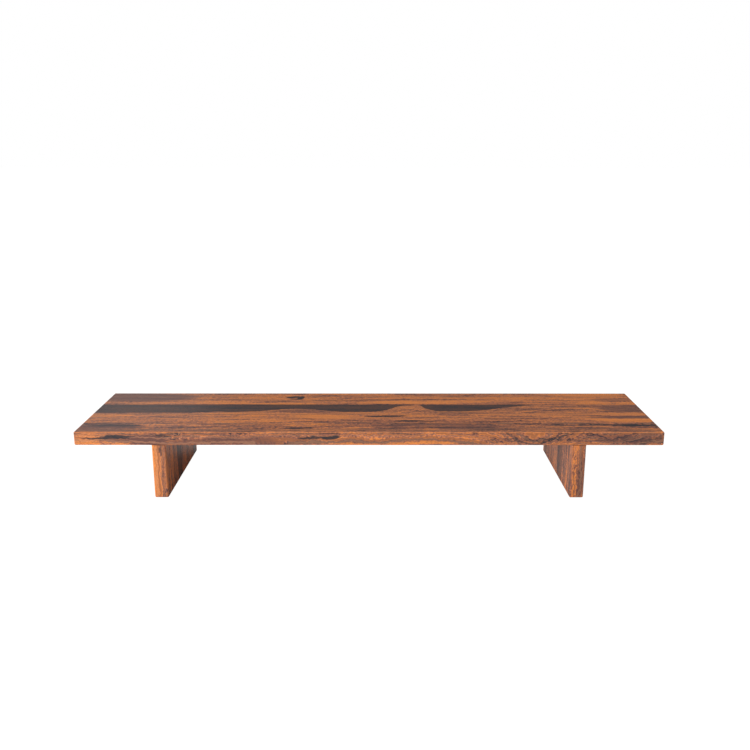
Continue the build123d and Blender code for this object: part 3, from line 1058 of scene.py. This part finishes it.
class RISER_OT_inserts(bpy.types.Operator):
    """Makes the four threaded inserts in the shelf, coarse outside and to suit the bolt inside"""
    bl_idname = "riser.inserts"
    bl_label = "Threaded Inserts"

    def execute(self, context):
        sizes = context.scene.riser_hardware
        # turned brass: yellow metal with fine rings left by the tool
        brass = plain_material("Brass, turned", "D2A24C", 1.0, 0.28, "BE8C3C", 0.005, (3, 3, 0.25), 0.07)
        thread = shared_tree("Screw Thread", make_thread_tree)
        edge, chamfer = 0.4 * MM, sizes.insert_chamfer
        for side, name, (x, y) in bolted_places():
            node = f"{side}_{name}_threaded_insert"
            low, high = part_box(node)
            inner, outer = sizes.insert_bore, (high.x - low.x) / 2
            inner_rows = round((high.z - low.z - 2 * edge) / sizes.bolt_pitch * 8)
            outer_rows = round((high.z - low.z - edge - chamfer) / sizes.insert_pitch * 16)
            outline = [(inner, z) for z in evenly(high.z - edge, low.z + edge, inner_rows)]
            outline += [(inner + edge, low.z), (outer - edge, low.z)]
            outline += [(outer, z) for z in evenly(low.z + edge, high.z - chamfer, outer_rows)]
            outline += [(outer - chamfer, high.z), (inner + edge, high.z)]
            piece = turned_piece(f"{side}_{name}_insert_nut", outline, (x, y), sizes.segments, ring=True)
            walls = ((outer, sizes.insert_pitch, sizes.insert_thread_depth, 0.9 * MM),
                     (inner, sizes.bolt_pitch, sizes.inner_thread_depth, 0.6 * MM))
            for wall, pitch, depth, fade in walls:
                modify(piece, thread, {
                    "Axis": (x, y, 0), "Pitch": pitch, "Depth": depth, "Low": low.z, "High": high.z,
                    "Fade": fade, "Inside": wall - SLACK, "Outside": wall + SLACK, "Material": brass})
            bake_modifiers(piece)
            finish_piece(piece, "insert_brass", node)
        return {"FINISHED"}


class RISER_OT_dowels(bpy.types.Operator):
    """Makes the four fluted dowels that line up the legs"""
    bl_idname = "riser.dowels"
    bl_label = "Fluted Dowels"

    def execute(self, context):
        sizes = context.scene.riser_hardware
        # bare beech: pale and dull, with short darker flecks along the grain
        beech = plain_material(
            "Beech, compressed and bare", "DDB98A", 0.0, 0.62, "C0925F", 0.02, (0.35, 0.35, 3.0), 0.06)
        flutes = shared_tree("Upright Flutes", make_flute_tree)
        chamfer = sizes.dowel_chamfer
        for side in SIDES:
            for name in DOWELLED:
                node = f"{side}_{name}_dowel"
                low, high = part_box(node)
                x, y = node_axis(node)
                radius = (high.x - low.x) / 2
                outline = [(0, low.z), (radius - chamfer, low.z), (radius, low.z + chamfer)]
                outline += [(radius, z) for z in evenly(low.z + 1.4 * chamfer, high.z - 1.4 * chamfer, 24)]
                outline += [(radius, high.z - chamfer), (radius - chamfer, high.z), (0, high.z)]
                piece = turned_piece(f"{side}_{name}_fluted_dowel", outline, (x, y), sizes.segments)
                modify(piece, flutes, {
                    "Axis": (x, y, 0), "Count": sizes.flute_count, "Depth": sizes.flute_depth,
                    "Low": low.z + chamfer, "High": high.z - chamfer, "Fade": chamfer,
                    "Inside": radius - SLACK, "Material": beech})
                bake_modifiers(piece)
                finish_piece(piece, "dowel_beech", node)
        return {"FINISHED"}


class RISER_OT_feet(bpy.types.Operator):
    """Makes the four rubber feet that cover the bolt heads"""
    bl_idname = "riser.feet"
    bl_label = "Rubber Feet"

    def execute(self, context):
        sizes = context.scene.riser_hardware
        # moulded rubber: black, matt, with the fine texture of a spark-eroded mould
        rubber = plain_material("Rubber, moulded", "1B1B1C", 0.0, 0.72, "262627", 0.02, (0.4, 0.4, 0.4), 0.08)
        ribs = shared_tree("Ring Ribs", make_rib_tree)
        rounding, edge = 0.4 * MM, 0.15 * MM
        for side, name, (x, y) in bolted_places():
            node = f"{side}_{name}_foot_pad"
            low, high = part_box(node)
            radius = (high.x - low.x) / 2
            outline = [(0, low.z)]
            outline += [(r, low.z) for r in evenly(0.25 * MM, radius - rounding, 40)]
            outline += rounded_edge(radius, low.z, rounding, evenly(math.pi / 8, math.pi / 2, 3))
            outline += [(radius, high.z - edge), (radius - edge, high.z), (0, high.z)]
            piece = turned_piece(f"{side}_{name}_rubber_foot", outline, (x, y), sizes.segments)
            modify(piece, ribs, {
                "Axis": (x, y, 0), "Pitch": sizes.rib_pitch, "Depth": sizes.rib_depth,
                "High": low.z + 0.1 * MM, "Fade": 0.5 * MM,
                "Inside": 0.6 * MM, "Outside": radius - 1.2 * MM, "Material": rubber})
            bake_modifiers(piece)
            finish_piece(piece, "pad_rubber", node)
        return {"FINISHED"}


# Stage

# where each soft light stands, and its width and height, in metres; they all aim at the shelf's middle
SOFTBOXES = {
    "key": ((-1.5, -2.6, 1.1), (1.6, 1.4)),
    "side": ((-3.0, -1.3, 0.36), (1.4, 0.6)),
    "fill": ((2.6, -1.7, 0.6), (1.4, 0.9)),
    "back": ((-1.6, 2.6, 1.0), (1.6, 1.2)),
    "top": ((0.0, 0.1, 2.4), (2.4, 1.4)),
}
WHITE = (1, 1, 1, 1)


def area_light(name, place, aim, size, power):
    """A soft light that the camera doesn't see."""
    light = bpy.data.lights.new(name, "AREA")
    light.shape, light.size, light.size_y, light.energy = "RECTANGLE", size[0], size[1], power
    lamp = scene_object(name, light)
    lamp.location = place
    lamp.visible_camera = False
    lamp.rotation_euler = (Vector(aim) - Vector(place)).to_track_quat("-Z", "Y").to_euler()


def floor_paint(look):
    """A pale floor that is lifted towards white as it is seen, and clear from underneath."""
    paint, tree, shader = new_material("Matte white studio floor")
    add = partial(add_node, tree)
    tone = (look.floor_tone, look.floor_tone, look.floor_tone, 1)
    set_inputs(tree, shader, {"Base Color": tone, "Roughness": 0.9, "Specular IOR Level": 0.1})
    seen = tree.nodes.new("ShaderNodeLightPath").outputs["Is Camera Ray"]
    lifted = add("ShaderNodeMath", {0: seen, 1: look.high_key}, operation="MULTIPLY")
    glow = add("ShaderNodeEmission", {"Color": WHITE, "Strength": look.floor_glow})
    above = add("ShaderNodeMixShader", {0: lifted, 1: shader, 2: glow})
    # from underneath the floor is clear, so that the feet can be looked at
    side = tree.nodes.new("ShaderNodeNewGeometry").outputs["Backfacing"]
    clear = tree.nodes.new("ShaderNodeBsdfTransparent")
    shown = add("ShaderNodeMixShader", {0: side, 1: above, 2: clear})
    set_inputs(tree, tree.nodes["Material Output"], {"Surface": shown})
    return paint


def card_paper(look):
    """Evenly bright white paper."""
    paper, tree, _ = new_material("White reflector card")
    glow = add_node(tree, "ShaderNodeEmission", {"Color": WHITE, "Strength": look.card})
    set_inputs(tree, tree.nodes["Material Output"], {"Surface": glow})
    return paper


def flat_sheet(name, half, middle, material):
    """A level square sheet of one material, from its half width and its middle."""
    shape = bmesh.new()
    bmesh.ops.create_grid(shape, x_segments=1, y_segments=1, size=half)
    bmesh.ops.translate(shape, vec=middle, verts=shape.verts)
    sheet = shape_object(name, shape)
    sheet.data.materials.append(material)
    return sheet


class RISER_OT_stage(bpy.types.Operator):
    """Sets the pale floor, the soft lights and the camera"""
    bl_idname = "riser.stage"
    bl_label = "Stage"

    def execute(self, context):
        scene, look = context.scene, context.scene.riser_stage
        floor = flat_sheet("floor", 30.0, (0, 0, 0), floor_paint(look))

        # a white card lies on the floor beside the right leg; only reflections show it
        card = flat_sheet("reflector_card", 0.2, (0.16, 0.1, 0.5 * MM), card_paper(look))
        card.visible_camera = card.visible_diffuse = card.visible_shadow = card.visible_transmission = False

        world = bpy.data.worlds.new("White surround")
        scene.world = world
        world.use_nodes = True
        tree = world.node_tree
        seen = tree.nodes.new("ShaderNodeLightPath").outputs["Is Camera Ray"]
        strength = add_node(tree, "ShaderNodeMix", {"Factor": seen, "A": look.sky, "B": 1.0})
        set_inputs(tree, tree.nodes["Background"], {"Color": WHITE, "Strength": strength})

        middle = joint_middle([f"shelf_stave_{name}" for name in STAVES])
        for name, (place, size) in SOFTBOXES.items():
            area_light(f"{name} softbox", place, middle, size, getattr(look, name))

        camera_data = bpy.data.cameras.new("camera")
        camera_data.lens = look.lens
        camera = scene_object("camera", camera_data)
        camera.location = look.camera_place
        camera.rotation_euler = (math.radians(90) - look.camera_dip, 0, look.camera_turn)
        scene.camera = camera
        scene.view_settings.view_transform = "Standard"
        return {"FINISHED"}


class RISER_PT_panel(bpy.types.Panel):
    """Lists the pieces of the riser"""
    bl_idname = "RISER_PT_panel"
    bl_label = "Monitor Riser"
    bl_space_type = "VIEW_3D"
    bl_region_type = "UI"
    bl_category = "Riser"

    def draw(self, context):
        for operator in OPERATORS:
            self.layout.operator(operator.bl_idname)


OPERATORS = (
    RISER_OT_shelf, RISER_OT_legs, RISER_OT_bolts, RISER_OT_washers, RISER_OT_inserts, RISER_OT_dowels,
    RISER_OT_feet, RISER_OT_stage)
CLASSES = (BoardSettings, HardwareSettings, WoodSettings, StageSettings, *OPERATORS, RISER_PT_panel)


def register():
    for item in CLASSES:
        bpy.utils.register_class(item)
    bpy.types.Scene.riser_boards = PointerProperty(type=BoardSettings)
    bpy.types.Scene.riser_hardware = PointerProperty(type=HardwareSettings)
    bpy.types.Scene.riser_wood = PointerProperty(type=WoodSettings)
    bpy.types.Scene.riser_stage = PointerProperty(type=StageSettings)


def unregister():
    del bpy.types.Scene.riser_boards, bpy.types.Scene.riser_hardware
    del bpy.types.Scene.riser_wood, bpy.types.Scene.riser_stage
    for item in reversed(CLASSES):
        bpy.utils.unregister_class(item)


def main():
    register()
    bpy.ops.riser.shelf()
    bpy.ops.riser.legs()
    bpy.ops.riser.bolts()
    bpy.ops.riser.washers()
    bpy.ops.riser.inserts()
    bpy.ops.riser.dowels()
    bpy.ops.riser.feet()
    bpy.ops.riser.stage()


if __name__ == "__main__":
    main()
